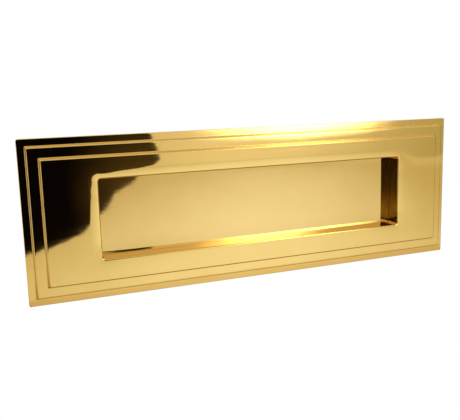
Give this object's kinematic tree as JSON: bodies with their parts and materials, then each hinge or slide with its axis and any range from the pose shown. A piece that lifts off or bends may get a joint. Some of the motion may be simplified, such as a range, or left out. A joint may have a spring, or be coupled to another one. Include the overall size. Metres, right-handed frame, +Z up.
{
  "type": "letter plate",
  "caption": "Cast brass letter plate with a stepped, raised centre and an inward-opening sprung flap, fixed by studs through the door.",
  "frame": {"origin": "midway between the two fixing studs, in the plane of the plate's back rim, which bears on the door", "axes": "+X along the plate, to the right as seen from outdoors; +Y into the door, along the studs; +Z up"},
  "size_m": [0.305, 0.0657, 0.102],
  "materials": {
    "plate_brass": "cast, mirror polished and lacquered on the front, as cast behind",
    "flap_brass": "mirror polished on the front, linished behind",
    "rod_brass": "drawn rod",
    "washer_brass": "stamped",
    "spring_steel": "bright spring wire and strip",
    "plated_steel": "zinc plated",
    "rubber": "matt"
  },
  "bodies": {
    "plate": {"front_plate": "plate_brass", "hinge_rod": "rod_brass", "flap_buffers": "rubber", "rod_clip_left": "spring_steel", "hinge_washer_left": "washer_brass", "torsion_spring_left": "spring_steel", "fixing_stud_left": "plated_steel", "fixing_washer_left": "plated_steel", "fixing_nut_left": "plated_steel", "rod_clip_right": "spring_steel", "hinge_washer_right": "washer_brass", "torsion_spring_right": "spring_steel", "fixing_stud_right": "plated_steel", "fixing_washer_right": "plated_steel", "fixing_nut_right": "plated_steel"},
    "flap": {"flap": "flap_brass"}
  },
  "joints": [
    {"name": "flap_hinge", "type": "hinge", "parent": "plate", "child": "flap", "pos_m": [0, 0.006, 0.034], "axis": [1, 0, 0], "range_deg": [0, 85], "stiffness_Nm_per_rad": 0.14, "springref_deg": -63.03, "deforming": ["torsion_spring_left", "torsion_spring_right"]}
  ]
}
